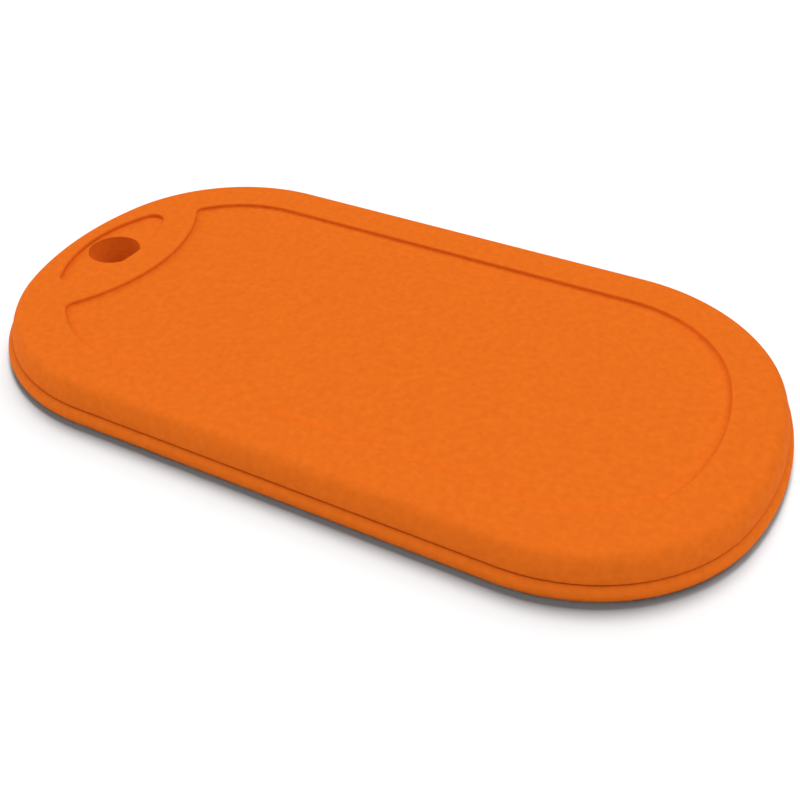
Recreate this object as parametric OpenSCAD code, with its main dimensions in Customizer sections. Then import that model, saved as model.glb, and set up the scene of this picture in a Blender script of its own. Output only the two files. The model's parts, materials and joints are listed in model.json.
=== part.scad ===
// A flat plastic tag with rounded ends, moulded as two shells that meet at a seam low on
// its side. The lower shell has a rounded rim that stands a little proud. The upper shell
// has a bowed wall with a rounded brow, a shallow label recess, and a small pocket around
// the hole that takes a ring or a ball chain. X runs along the tag with the hole at the -X
// end, Z is up, and the origin is the middle of the underside.

/* [Tag] */
// Overall length
tag_l = 50; // [48:1:56]
// Overall width
tag_w = 28; // [26:0.5:30]
// Overall thickness
tag_h = 2.5; // [2.4:0.1:2.8]
// How much larger the radius of the arc across each end is than that of the corners
arc_step = 8.25; // [7.5:0.25:10.5]

/* [Seam and rim] */
// Height of the seam between the two shells
seam_z = 0.95; // [0.9:0.05:1.05]
// Height at which the rounded rim is widest
rim_z = 0.45; // [0.4:0.05:0.45]
// How far the rim stands out past the upper shell
rim_reach = 0.4; // [0.3:0.05:0.4]

/* [Upper edge] */
// How far the upper shell's wall, upright at the seam, leans in at its top, in degrees
wall_lean = 30; // [15:1:35]
// Radius of the brow that rounds the wall over into the face
brow_r = 0.75; // [0.5:0.05:0.9]

/* [Label recess] */
// Width of the raised border around the recess
border_w = 3.9; // [3.5:0.1:4.5]
// Distance from the hole end of the tag to the recess, along its middle
recess_start = 8.05; // [8:0.05:9]
// Radius of the recess's concave end, which curves around the hole
recess_arc_r = 12.5; // [12:0.25:14]
// Depth of the recess
recess_d = 0.3; // [0.1:0.05:0.5]

/* [Hole and pocket] */
// Diameter of the hole
hole_d = 3.5; // [2.5:0.25:3.5]
// Width of the raised band between the pocket and the label recess
band_w = 2.3; // [1.5:0.05:2.3]
// Distance from the hole end of the tag to the pocket, along its middle
pocket_start = 2.05; // [1.95:0.05:2.05]
// Radius of the pocket's outer side
pocket_arc_r = 9.5; // [9:0.25:10.5]
// Radius that rounds off the pocket's two tips
pocket_tip_r = 0.8; // [0.5:0.1:1]
// Depth of the pocket
pocket_d = 0.3; // [0.1:0.05:0.5]

/* [Hidden] */
$fn = 128;

// The outline: each end is one broad arc and two corner arcs, tangent to each other and to
// the straight sides. The arcs meet along the slope of a 7-24-25 triangle, which puts every
// centre on a short decimal, so that neighbouring surfaces meet exactly.
meet = [0.96, 0.28];
half_l = tag_l / 2;
corner_r = tag_w / 2 - arc_step * meet[1];
end_r = corner_r + arc_step;
end_c = [half_l - end_r, 0];
corner_c = end_c + arc_step * meet;

// A distance that is past the outline from any of its centres, and the point where the
// line on which an end arc meets a corner arc gets there
far = 50;
meet_far = end_c + far * meet;

// The rim's section is an arc through its widest line and the seam
rim_rise = seam_z - rim_z;
rim_r = (rim_reach * rim_reach + rim_rise * rim_rise) / (2 * rim_reach);

// The upper shell's wall and brow are arcs in these many flats. They touch where the wall
// leans most, so their centres lie along one line, wall_r - brow_r apart.
wall_flats = 4;
brow_flats = 8;
side_h = tag_h - seam_z;
brow_up = side_h - brow_r;
wall_r = brow_r + brow_up / sin(wall_lean);
brow_in = wall_r - (wall_r - brow_r) * cos(wall_lean);

// The recess's concave end and the pocket's inner side are arcs around one centre
band_c = [-half_l + recess_start - recess_arc_r, 0];
band_arc_r = recess_arc_r - band_w;
pocket_c = [-half_l + pocket_start + pocket_arc_r, 0];

// The hole is in the middle of the pocket
hole_x = -half_l + (pocket_start + recess_start - band_w) / 2;

// The centre of a pocket tip's arc is that arc's radius inside both sides of the pocket
outer_in_r = pocket_arc_r - pocket_tip_r;
inner_in_r = band_arc_r - pocket_tip_r;
side_gap = pocket_c[0] - band_c[0];
tip_back = (side_gap * side_gap + outer_in_r * outer_in_r - inner_in_r * inner_in_r) / (2 * side_gap);
tip_c = [pocket_c[0] - tip_back, sqrt(outer_in_r * outer_in_r - tip_back * tip_back)];

// A tip's arc, from one side of the pocket around to the other, is this many flats
tip_flats = 8;
tip_from = atan2(tip_c[1], tip_c[0] - band_c[0]);
tip_to = atan2(tip_c[1], tip_c[0] - pocket_c[0]);
tip_step = (tip_to - tip_from) / tip_flats;

// Overlap that makes a cut pass clear through a surface
clear = 1;

// Rounds to a thousandth
function short(value) = round(1000 * value) / 1000;

// The point at a distance from a start, on the way through another point
function beyond(start, through, distance) = start + distance * (through - start) / norm(through - start);

// A list of points mirrored across the tag's length, in reverse order
function flipped(points) = [for (k = [len(points) - 1 : -1 : 0]) [points[k][0], -points[k][1]]];

// The stretch of the plan that an end arc closes
module end_wedge() {
    polygon([
        end_c, corner_c, meet_far,
        [meet_far[0], -meet_far[1]], [corner_c[0], -corner_c[1]]
    ]);
}

// The stretch of the plan that a corner arc closes
module corner_wedge() {
    polygon([corner_c, meet_far, [meet_far[0], far], [corner_c[0], far]]);
}

// The middle of the plan, between the arcs' centres
module core() {
    polygon([
        end_c, corner_c, [-corner_c[0], corner_c[1]],
        -end_c, -corner_c, [corner_c[0], -corner_c[1]]
    ]);
}

// The outline in plan, moved in by a distance
module plan(inset) {
    for (half = [0, 180])
        rotate(half) {
            intersection() {
                translate(end_c)
                    circle(end_r - inset);
                end_wedge();
            }
            for (side = [0, 1])
                mirror([0, side])
                    intersection() {
                        translate(corner_c)
                            circle(corner_r - inset);
                        corner_wedge();
                    }
            translate([-corner_c[0], corner_c[1]])
                square([2 * corner_c[0], corner_r - inset]);
        }
    core();
}

// Carries a section around the outline. Its child is the section from an axis at x = 0 out
// to an outline that is $reach away, and h is the section's height.
module around(h) {
    for (half = [0, 180])
        rotate(half) {
            intersection() {
                translate(end_c)
                    rotate_extrude() {
                        $reach = end_r;
                        children();
                    }
                linear_extrude(h)
                    end_wedge();
            }
            for (side = [0, 1])
                mirror([0, side])
                    intersection() {
                        translate(corner_c)
                            rotate_extrude() {
                                $reach = corner_r;
                                children();
                            }
                        linear_extrude(h)
                            corner_wedge();
                    }
            translate([-corner_c[0], corner_c[1]])
                rotate([90, 0, 90])
                    linear_extrude(2 * corner_c[0]) {
                        $reach = corner_r;
                        children();
                    }
        }
    linear_extrude(h)
        core();
}

// The lower shell's section: flat underside, rounded rim, flat seam face
module rim_section(reach) {
    intersection() {
        square([reach, seam_z]);
        union() {
            square([reach - rim_r, seam_z]);
            translate([reach - rim_r, rim_z])
                circle(rim_r);
        }
    }
}

// The upper shell's section: flat seam face, bowed wall and brow in short flats, flat top
module side_section(reach) {
    foot_x = reach - rim_reach;
    polygon([
        [0, 0],
        for (k = [0 : wall_flats - 1])
            let (angle = k * wall_lean / wall_flats)
                [foot_x - short(wall_r * (1 - cos(angle))), short(wall_r * sin(angle))],
        for (k = [0 : brow_flats])
            let (angle = wall_lean + k * (90 - wall_lean) / brow_flats)
                [foot_x - short(brow_in - brow_r * cos(angle)), short(brow_up + brow_r * sin(angle))],
        [0, side_h]
    ]);
}

module recess_plan() {
    difference() {
        plan(border_w);
        translate(band_c)
            circle(recess_arc_r);
    }
}

// The overlap of the pocket's two sides, with both of its tips rounded off
module pocket_plan() {
    flat_corner_r = pocket_tip_r / cos(tip_step / 2);
    round_tip = [
        beyond(band_c, tip_c, far),
        for (k = [0 : tip_flats])
            tip_c + flat_corner_r * [cos(tip_from + k * tip_step), sin(tip_from + k * tip_step)],
        beyond(pocket_c, tip_c, far)
    ];
    intersection() {
        translate(pocket_c)
            circle(pocket_arc_r);
        translate(band_c)
            circle(band_arc_r);
        polygon(concat(round_tip, flipped(round_tip)));
    }
}

module hole() {
    translate([hole_x, 0, -clear])
        cylinder(d = hole_d, h = tag_h + 2 * clear);
}

module base_shell() {
    color("#EC7120")
        difference() {
            around(seam_z)
                rim_section($reach);
            hole();
        }
}

module top_shell() {
    color("#EC7120")
        difference() {
            translate([0, 0, seam_z])
                around(side_h)
                    side_section($reach);
            translate([0, 0, tag_h - recess_d])
                linear_extrude(recess_d + clear)
                    recess_plan();
            translate([0, 0, tag_h - pocket_d])
                linear_extrude(pocket_d + clear)
                    pocket_plan();
            hole();
        }
}

base_shell();
top_shell();
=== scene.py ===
"""A moulded plastic dog tag on a pale floor: its two shells, their finish, the studio and the camera."""

import json
import math
from collections import namedtuple

import bpy
import numpy as np
from mathutils import Matrix, Vector
from mathutils.geometry import delaunay_2d_cdt


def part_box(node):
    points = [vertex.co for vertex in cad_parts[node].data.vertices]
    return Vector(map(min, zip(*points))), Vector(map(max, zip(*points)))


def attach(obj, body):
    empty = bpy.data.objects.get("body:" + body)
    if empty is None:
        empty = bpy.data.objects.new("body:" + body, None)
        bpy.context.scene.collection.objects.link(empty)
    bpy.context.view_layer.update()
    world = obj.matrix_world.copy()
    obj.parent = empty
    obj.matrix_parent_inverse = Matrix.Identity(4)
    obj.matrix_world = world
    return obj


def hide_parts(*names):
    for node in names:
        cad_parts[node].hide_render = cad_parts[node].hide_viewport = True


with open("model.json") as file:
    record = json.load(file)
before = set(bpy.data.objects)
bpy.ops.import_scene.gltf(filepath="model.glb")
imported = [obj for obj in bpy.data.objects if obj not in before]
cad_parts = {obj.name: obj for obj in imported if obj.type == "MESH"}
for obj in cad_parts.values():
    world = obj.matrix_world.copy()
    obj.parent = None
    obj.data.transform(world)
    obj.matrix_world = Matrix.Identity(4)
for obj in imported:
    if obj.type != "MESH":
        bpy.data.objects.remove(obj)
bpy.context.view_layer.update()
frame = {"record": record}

MM = 0.001

# What the frame tells about the tag
rim_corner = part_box("base_shell")[1]
top_low, top_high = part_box("top_shell")
mounts = {mount["name"]: mount for mount in frame["record"]["mounts"]}
half_l = rim_corner.x
half_w = rim_corner.y
seam_z = top_low.z
face_z = top_high.z
floor_z = mounts["label_recess"]["pos_m"][2]
hole_x = mounts["ring_hole"]["pos_m"][0]
hole_r = mounts["ring_hole"]["dims"]["r_mm"] * MM

# The outline's arcs: each end is one broad arc and two corner arcs, which meet along a 7-24-25 slope
arc_step = 8.25 * MM
meet = np.array([0.96, 0.28])
meet_angle = math.degrees(math.atan2(meet[1], meet[0]))
corner_r = half_w - arc_step * meet[1]
end_r = corner_r + arc_step
end_c = np.array([half_l - end_r, 0])
corner_c = end_c + arc_step * meet

# The rim of the lower shell, and the bowed wall and rounded brow of the upper one
rim_z = 0.45 * MM
rim_reach = 0.4 * MM
rim_rise = seam_z - rim_z
rim_r = (rim_reach ** 2 + rim_rise ** 2) / (2 * rim_reach)
wall_lean = 30
brow_r = 0.75 * MM

# The label recess, the raised band beside it and the pocket around the hole
border_w = 3.9 * MM
recess_start = 8.05 * MM
recess_arc_r = 12.5 * MM
band_w = 2.3 * MM
band_c = np.array([recess_start - half_l - recess_arc_r, 0])
pocket_start = 2.05 * MM
pocket_arc_r = 9.5 * MM
pocket_tip_r = 0.8 * MM
pocket_c = np.array([pocket_start - half_l + pocket_arc_r, 0])

# The small radii that moulding leaves on every edge
foot_r = 0.12 * MM
seam_r = 0.15 * MM
step_r = 0.13 * MM
recess_corner_r = 0.6 * MM
pocket_foot_r = 0.03 * MM
lip_r = 0.05 * MM

# How finely paths and sections are divided
STATION_SPACING = 0.3 * MM
STATION_TURN = 6
WALL_STEPS = 8
BROW_STEPS = 18
RIM_STEPS = 14
SMALL_STEPS = 5

# Points of a flat that are closer than this are one, in millimetres
MERGE_SPAN = 1e-7


# A stretch of a path. Its centre moves from start to end while the path's outward normal turns
# from first to last, in degrees. The radius is negative where the path bends inwards.
Stretch = namedtuple("Stretch", "start end radius first last")


def arc(centre, radius, first, last):
    return Stretch(centre, centre, radius, first, last)


class Path:
    """A closed path, anticlockwise. A station is centre + radius * normal; a larger radius moves it out."""

    def __init__(self, stretches):
        parts = [self.divide(stretch) for stretch in stretches]
        self.centre, self.radius, self.normal = (np.concatenate(column) for column in zip(*parts))

    @staticmethod
    def divide(stretch):
        turn = abs(stretch.last - stretch.first)
        length = math.dist(stretch.start, stretch.end) + abs(stretch.radius) * math.radians(turn)
        steps = math.ceil(max(length / STATION_SPACING, turn / STATION_TURN))
        share = np.arange(steps)[:, None] / steps
        centre = stretch.start + share * (np.array(stretch.end) - stretch.start)
        angle = np.radians(stretch.first + share * (stretch.last - stretch.first))
        return centre, np.full((steps, 1), stretch.radius), np.hstack([np.cos(angle), np.sin(angle)])


def heading(start, end):
    """The direction from one point to another, in degrees from 0 to 360."""
    return math.degrees(math.atan2(end[1] - start[1], end[0] - start[0])) % 360


def crossing(first, first_r, second, second_r):
    """Where two circles cross: of their two crossings, the one with the larger y.

    Along the line between the centres it is (span^2 + first_r^2 - second_r^2) / (2 span) from the first.
    """
    gap = second - first
    span = np.linalg.norm(gap)
    ahead = gap / span
    aside = np.array([-ahead[1], ahead[0]])
    along = (span ** 2 + first_r ** 2 - second_r ** 2) / (2 * span)
    across = math.sqrt(first_r ** 2 - along ** 2)
    ends = [first + ahead * along + aside * across, first + ahead * along - aside * across]
    return max(ends, key=lambda end: end[1])


def outline_path():
    """The tag's outline: end arc, corner arc, straight side, and so on around."""
    centres = [corner_c * (1, 1), corner_c * (-1, 1), corner_c * (-1, -1), corner_c * (1, -1)]
    return Path([
        arc(end_c, end_r, -meet_angle, meet_angle),
        arc(centres[0], corner_r, meet_angle, 90),
        Stretch(centres[0], centres[1], corner_r, 90, 90),
        arc(centres[1], corner_r, 90, 180 - meet_angle),
        arc(-end_c, end_r, 180 - meet_angle, 180 + meet_angle),
        arc(centres[2], corner_r, 180 + meet_angle, 270),
        Stretch(centres[2], centres[3], corner_r, 270, 270),
        arc(centres[3], corner_r, 270, 360 - meet_angle),
    ])


def recess_path():
    """The outline moved in by the border, with a concave end around the hole and two small round corners."""
    inner_r = corner_r - border_w
    far_c = corner_c * (-1, 1)
    near_c = corner_c * (-1, -1)
    tip = crossing(far_c, inner_r - recess_corner_r, band_c, recess_arc_r + recess_corner_r)
    leave = heading(far_c, tip)
    turn = heading(tip, band_c)
    return Path([
        arc(end_c, end_r - border_w, -meet_angle, meet_angle),
        arc(corner_c, inner_r, meet_angle, 90),
        Stretch(corner_c, far_c, inner_r, 90, 90),
        arc(far_c, inner_r, 90, leave),
        arc(tip, recess_corner_r, leave, turn),
        arc(band_c, -recess_arc_r, turn, 360 - turn),
        arc(tip * (1, -1), recess_corner_r, 360 - turn, 360 - leave),
        arc(near_c, inner_r, 360 - leave, 270),
        Stretch(near_c, corner_c * (1, -1), inner_r, 270, 270),
        arc(corner_c * (1, -1), inner_r, 270, 360 - meet_angle),
    ])


def pocket_path():
    """The overlap of two circles, around the pocket's centre and the band's, with rounded tips."""
    band_arc_r = recess_arc_r - band_w
    tip = crossing(pocket_c, pocket_arc_r - pocket_tip_r, band_c, band_arc_r - pocket_tip_r)
    inner = heading(band_c, tip)
    outer = heading(pocket_c, tip)
    return Path([
        arc(band_c, band_arc_r, -inner, inner),
        arc(tip, pocket_tip_r, inner, outer),
        arc(pocket_c, pocket_arc_r, outer, 360 - outer),
        arc(tip * (1, -1), pocket_tip_r, 360 - outer, 360 - inner),
    ])


def hole_path():
    return Path([arc(np.array([hole_x, 0]), hole_r, 0, 360)])


def bend(out, up, radius, first, last, steps, hollow=False, edge_wear_and_highlight=0):
    """Rows of a section on an arc: centre + radius * (cos t, sin t), with t from first to last, in degrees.

    Columns: distance out from the path, height, the normal's two parts, and the edge's wear and painted
    highlight. The normal is (cos t, sin t), or its opposite in a hollow. The wear and painted highlight is
    sin(pi * share), so the ends have none.
    """
    share = np.linspace(0, 1, steps + 1)
    angle = np.radians(first + share * (last - first))
    ray = np.stack([np.cos(angle), np.sin(angle)], 1)
    wear = edge_wear_and_highlight * np.sin(np.pi * share)
    return np.column_stack([(out, up) + radius * ray, -ray if hollow else ray, wear])


def blunt(out, up, radius, level, small, side):
    """Centre and meeting angle of the small arc that blunts a section arc where it runs into a flat.

    The flat lies at level, above the arc for side 1 and below it for side -1. The small arc's centre is
    radius - small from the arc's centre, and small inside the flat.
    """
    small_up = level - side * small
    rise = small_up - up
    run = math.sqrt((radius - small) ** 2 - rise ** 2)
    return out + run, small_up, math.degrees(math.atan2(rise, run))


def rim_section():
    """The lower shell's edge: blunted foot, rounded rim, blunted seam edge."""
    foot_out, foot_up, foot_turn = blunt(-rim_r, rim_z, rim_r, 0, foot_r, -1)
    seam_out, seam_up, seam_turn = blunt(-rim_r, rim_z, rim_r, seam_z, seam_r, 1)
    return np.vstack([
        bend(foot_out, foot_up, foot_r, -90, foot_turn, SMALL_STEPS),
        # The rim is lighter across its middle: partly rubbed wear, partly a painted highlight.
        bend(-rim_r, rim_z, rim_r, foot_turn, seam_turn, RIM_STEPS, edge_wear_and_highlight=0.6)[1:],
        bend(seam_out, seam_up, seam_r, seam_turn, 90, SMALL_STEPS)[1:],
    ])


def side_section():
    """The upper shell's edge: blunted seam edge, bowed wall, rounded brow.

    The wall's arc is upright at the seam. The brow's arc touches it where the normal has turned by wall_lean,
    so the two centres lie along that normal, wall_r - brow_r apart.
    """
    lean = math.radians(wall_lean)
    apart = (face_z - brow_r - seam_z) / math.sin(lean)
    wall_r = apart + brow_r
    wall_out = -rim_reach - wall_r
    seam_out, seam_up, seam_turn = blunt(wall_out, seam_z, wall_r, seam_z, seam_r, -1)
    return np.vstack([
        bend(seam_out, seam_up, seam_r, -90, seam_turn, SMALL_STEPS),
        bend(wall_out, seam_z, wall_r, seam_turn, wall_lean, WALL_STEPS)[1:],
        bend(wall_out + apart * math.cos(lean), face_z - brow_r, brow_r, wall_lean, 90, BROW_STEPS)[1:],
    ])


def step_section(root_r):
    """A step down from the face into a recess: rounded edge, upright wall, hollow root."""
    return np.vstack([
        # The rounded edge is lighter: rubbed wear and a painted highlight.
        bend(step_r, face_z - step_r, step_r, 90, 180, SMALL_STEPS, edge_wear_and_highlight=1),
        bend(-root_r, floor_z + root_r, root_r, 0, -90, SMALL_STEPS, hollow=True),
    ])


def bore_section(high, low):
    """A bore's wall, with both of its mouths rounded."""
    return np.vstack([
        # The upper mouth is lighter: rubbed wear and a painted highlight.
        bend(lip_r, high - lip_r, lip_r, 90, 180, SMALL_STEPS, edge_wear_and_highlight=1),
        bend(lip_r, low + lip_r, lip_r, 180, 270, SMALL_STEPS),
    ])


class Shell:
    """A closed skin gathered from rings of points, with an exact normal at every point."""

    def __init__(self):
        self.points = np.empty((0, 3))
        self.normals = np.empty((0, 3))
        self.wear = np.empty(0)
        self.faces = []

    def carry(self, path, section):
        """Carries a section along a path and skins it. Returns the point numbers of its first and last rings.

        Ring k, station n is centre + (radius + out) * normal in plan, at the section's height.
        """
        out, up, normal_out, normal_up, wear = (column[:, None, None] for column in section.T)
        plan = path.centre + (path.radius + out) * path.normal
        ones = np.ones(plan.shape[:2] + (1,))
        first = len(self.points)
        rings = first + np.arange(plan.shape[0] * plan.shape[1]).reshape(plan.shape[:2])
        self.points = np.vstack([self.points, np.concatenate([plan, up * ones], 2).reshape(-1, 3)])
        normals = np.concatenate([path.normal * normal_out, normal_up * ones], 2)
        self.normals = np.vstack([self.normals, normals.reshape(-1, 3)])
        self.wear = np.append(self.wear, (wear * ones).ravel())
        ahead = np.roll(rings, -1, axis=1)
        quads = np.stack([rings[:-1], ahead[:-1], ahead[1:], rings[1:]], 2)
        self.faces += quads.reshape(-1, 4).tolist()
        return rings[0], rings[-1]

    def fill(self, rings, upwards=True):
        """Closes the flat between rings: a triangulation of their points, less the triangles outside them.

        A triangle is inside if a ray from its middle along +X crosses an odd number of the rings' edges.
        """
        chosen = np.concatenate(rings)
        plan = self.points[chosen, :2]
        starts = np.cumsum([0] + [len(ring) for ring in rings])[:-1]
        edges = np.vstack([
            np.stack([start + np.arange(len(ring)), start + np.roll(np.arange(len(ring)), -1)], 1)
            for start, ring in zip(starts, rings)
        ])
        found = delaunay_2d_cdt((plan / MM).tolist(), edges.tolist(), [], 0, MERGE_SPAN, False)
        triangles = np.array(found[2])
        middle = plan[triangles].mean(1)[:, None]
        low, high = plan[edges[:, 0]], plan[edges[:, 1]]
        straddles = (low[:, 1] > middle[..., 1]) != (high[:, 1] > middle[..., 1])
        with np.errstate(divide="ignore", invalid="ignore"):
            slope = (high[:, 0] - low[:, 0]) / (high[:, 1] - low[:, 1])
            cut = low[:, 0] + (middle[..., 1] - low[:, 1]) * slope
        inside = (straddles & (cut > middle[..., 0])).sum(1) % 2 == 1
        kept = triangles[inside]
        self.faces += chosen[kept if upwards else kept[:, ::-1]].tolist()

    def piece(self, name, material):
        mesh = bpy.data.meshes.new(name)
        mesh.from_pydata(self.points, [], self.faces)
        mesh.shade_smooth()
        mesh.normals_split_custom_set_from_vertices(self.normals)
        # This point attribute marks edges that are lighter from rubbed wear and a painted highlight.
        mesh.attributes.new("wear", "FLOAT", "POINT").data.foreach_set("value", self.wear)
        mesh.materials.append(material)
        made = bpy.data.objects.new(name, mesh)
        bpy.context.scene.collection.objects.link(made)
        return made


def lower_half(material):
    """The shell with the flat underside and the rounded rim."""
    shell = Shell()
    foot, seam = shell.carry(outline_path(), rim_section())
    mouth, sole = shell.carry(hole_path(), bore_section(seam_z, 0))
    shell.fill([seam, mouth])
    shell.fill([foot, sole], upwards=False)
    return shell.piece("lower_half", material)


def upper_half(material):
    """The shell with the face, the label recess and the pocket."""
    shell = Shell()
    seam, brow = shell.carry(outline_path(), side_section())
    recess_edge, recess_root = shell.carry(recess_path(), step_section(step_r))
    pocket_edge, pocket_root = shell.carry(pocket_path(), step_section(pocket_foot_r))
    mouth, sole = shell.carry(hole_path(), bore_section(floor_z, seam_z))
    shell.fill([brow, recess_edge, pocket_edge])
    shell.fill([recess_root])
    shell.fill([pocket_root, mouth])
    shell.fill([seam, sole], upwards=False)
    return shell.piece("upper_half", material)


class Value:
    """A shader socket that can be used in sums. Each operator adds a Math node."""

    def __init__(self, shader, socket):
        self.shader = shader
        self.socket = socket

    def math(self, operation, first, second):
        return self.shader.node("Math", {"operation": operation}, {0: first, 1: second})

    def __add__(self, other):
        return self.math("ADD", self, other)

    def __sub__(self, other):
        return self.math("SUBTRACT", self, other)

    def __mul__(self, other):
        return self.math("MULTIPLY", self, other)

    def __rsub__(self, other):
        return self.math("SUBTRACT", other, self)

    __radd__ = __add__
    __rmul__ = __mul__


class Shader:
    """A material's node tree. All its nodes are made by node(), the Math nodes of expressions too."""

    def __init__(self, name):
        self.material = bpy.data.materials.new(name)
        self.material.use_nodes = True
        self.tree = self.material.node_tree
        self.tree.nodes.clear()

    def node(self, kind, settings, inputs, output=0):
        """Adds a node, applies its settings, then gives its sockets values or links. Returns its output."""
        made = self.tree.nodes.new("ShaderNode" + kind)
        for key, value in settings.items():
            setattr(made, key, value)
        for key, value in inputs.items():
            if isinstance(value, Value):
                self.tree.links.new(value.socket, made.inputs[key])
            else:
                made.inputs[key].default_value = value
        return Value(self, made.outputs[output]) if made.outputs else None

    def noise(self, grain, detail, seed):
        """Fractal noise from 0 to 1 whose blotches are about grain across, on the piece's own coordinates."""
        place = self.node("TexCoord", {}, {}, "Object")
        moved = self.node("Mapping", {}, {"Vector": place, "Location": (seed * MM, -seed * MM, seed * MM)})
        inputs = {"Vector": moved, "Scale": 1 / grain, "Detail": detail, "Roughness": 0.55}
        return self.node("TexNoise", {}, inputs)

    def spread(self, value, low, high):
        """Stretches the span from low to high out to 0 to 1, clamped at both ends, with a smooth step."""
        settings = {"interpolation_type": "SMOOTHSTEP"}
        return self.node("MapRange", settings, {"Value": value, "From Min": low, "From Max": high})

    def blend(self, share, first, second):
        """Mixes two colours, as values or links."""
        inputs = {"Factor": share, 6: first, 7: second}
        return self.node("Mix", {"data_type": "RGBA"}, inputs, 2)

    def finish(self, surface):
        self.node("OutputMaterial", {}, {"Surface": surface})
        return self.material


def moulded_plastic(name, seed):
    """Matt orange plastic with a fine spark-eroded grain, faint mottling, a few specks and lighter edges:
    rubbed wear and a painted highlight.
    """
    shader = Shader(name)
    grain = shader.noise(0.12 * MM, 2, seed)
    mottle = shader.noise(0.45 * MM, 1, seed + 11)
    specks = shader.spread(shader.noise(0.2 * MM, 0, seed + 31), 0.85, 0.89)
    wear = shader.node("Attribute", {"attribute_name": "wear"}, {}, "Fac")

    deep = (0.810, 0.1570, 0.0118, 1)
    bright = (0.922, 0.1840, 0.0149, 1)
    speck = (0.560, 0.0950, 0.0090, 1)
    # Lighter edge colour: partly rubbed wear, partly a painted highlight that brightens the rims.
    edge_wear_and_highlight = (0.920, 0.1950, 0.0180, 1)
    tone = 1.5 * mottle + 0.5 * grain - 0.5
    colour = shader.blend(tone, deep, bright)
    # Edges take the lighter colour by their mask of wear and painted highlight.
    colour = shader.blend(0.3 * wear, colour, edge_wear_and_highlight)
    colour = shader.blend(0.3 * specks, colour, speck)

    roughness = 0.74 + 0.12 * (mottle - 0.5) + 0.1 * (grain - 0.5) - 0.05 * wear
    height = 4 * grain + 3 * mottle - 3 * specks
    bump = shader.node("Bump", {}, {"Height": height, "Distance": 0.001 * MM, "Strength": 1})
    plastic = shader.node("BsdfPrincipled", {}, {
        "Base Color": colour,
        "Roughness": roughness,
        "IOR": 1.5,
        "Specular IOR Level": 0.02,
        "Normal": bump,
    })
    return shader.finish(plastic)


def pale_floor():
    """A wide plain floor, just under the tag."""
    shader = Shader("pale_floor")
    paint = shader.node("BsdfPrincipled", {}, {"Base Color": (0.9, 0.9, 0.9, 1), "Roughness": 0.9})
    reach = 5
    level = -0.01 * MM
    corners = [(-reach, -reach, level), (reach, -reach, level), (reach, reach, level), (-reach, reach, level)]
    mesh = bpy.data.meshes.new("floor")
    mesh.from_pydata(corners, [], [(0, 1, 2, 3)])
    mesh.materials.append(shader.finish(paint))
    floor = bpy.data.objects.new("floor", mesh)
    bpy.context.scene.collection.objects.link(floor)
    return floor


def towards(azimuth, elevation):
    """The unit vector from the tag to a place: azimuth 0 is -Y and 90 is +X, in degrees."""
    turn, rise = math.radians(azimuth), math.radians(elevation)
    return Vector((math.sin(turn) * math.cos(rise), -math.cos(turn) * math.cos(rise), math.sin(rise)))


def soft_light(name, lit, azimuth, elevation, spread, strength, bounces=None):
    """A distant round softbox, spread degrees across, that lights one collection only.

    Strength 1 makes a white surface that faces it just white, so its irradiance is pi * strength.
    A limit on its bounces keeps down the glow that orange plastic and white floor cast on each other.
    """
    light = bpy.data.lights.new(name, "SUN")
    light.angle = math.radians(spread)
    light.energy = math.pi * strength
    if bounces is not None:
        light.cycles.max_bounces = bounces
        light.cycles.use_multiple_importance_sampling = False
    lamp = bpy.data.objects.new(name, light)
    lamp.rotation_mode = "QUATERNION"
    lamp.rotation_quaternion = towards(azimuth, elevation).to_track_quat("Z", "Y")
    lamp.light_linking.receiver_collection = lit
    bpy.context.scene.collection.objects.link(lamp)


def lit_group(name, things):
    """A collection for lamps to light, apart from the scene's own."""
    group = bpy.data.collections.new(name)
    for thing in things:
        group.objects.link(thing)
    return group


def studio(floor, halves):
    """The floor is lit from behind to a plain white, and the tag by soft lamps around it. Only the camera
    sees the white world.
    """
    table = lit_group("lit_floor", [floor])
    soft_light("back_key", table, 205, 58, 25, 0.80, bounces=1)
    soft_light("back_left", table, 205, 40, 40, 0.38, bounces=1)
    soft_light("back_right", table, 155, 40, 40, 0.24, bounces=1)
    soft_light("front_light", table, 0, 50, 60, 0.165, bounces=1)
    tag = lit_group("lit_tag", halves)
    soft_light("overhead", tag, 0, 90, 120, 0.45)
    soft_light("right_key", tag, 125, 55, 70, 0.41)
    soft_light("left_fill", tag, 270, 20, 60, 0.39)
    soft_light("front_fill", tag, 0, 20, 60, 0.125, bounces=0)
    world = bpy.data.worlds.new("white_surround")
    bpy.context.scene.world = world
    world.use_nodes = True
    world.node_tree.nodes["Background"].inputs["Color"].default_value = (1, 1, 1, 1)
    world.cycles_visibility.diffuse = False
    world.cycles_visibility.glossy = False


def camera():
    """The photograph's view: where it stands, what it looks at, how it is rolled, and its lens."""
    azimuth, elevation, roll = 25.788, 39.715, 0.944
    distance = 57.746 * MM
    target = Vector((2.783, -3.230, 0)) * MM
    back = towards(azimuth, elevation)
    right = Vector((math.cos(math.radians(azimuth)), math.sin(math.radians(azimuth)), 0))
    up = back.cross(right)
    turn = math.radians(roll)
    rolled_right = math.cos(turn) * right + math.sin(turn) * up
    rolled_up = math.cos(turn) * up - math.sin(turn) * right
    lens = bpy.data.cameras.new("camera")
    lens.lens = 42.914
    lens.sensor_width = 36
    lens.clip_start = 1 * MM
    view = bpy.data.objects.new("camera", lens)
    turned = Matrix((rolled_right, rolled_up, back)).transposed().to_4x4()
    view.matrix_world = Matrix.Translation(target + distance * back) @ turned
    bpy.context.scene.collection.objects.link(view)
    bpy.context.scene.camera = view


camera()
halves = []
for make, node, seed in ((lower_half, "base_shell", 3), (upper_half, "top_shell", 40)):
    half = make(moulded_plastic(node + "_plastic", seed))
    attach(half, "root")
    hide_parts(node)
    halves.append(half)
studio(pale_floor(), halves)
bpy.context.scene.view_settings.view_transform = "Standard"
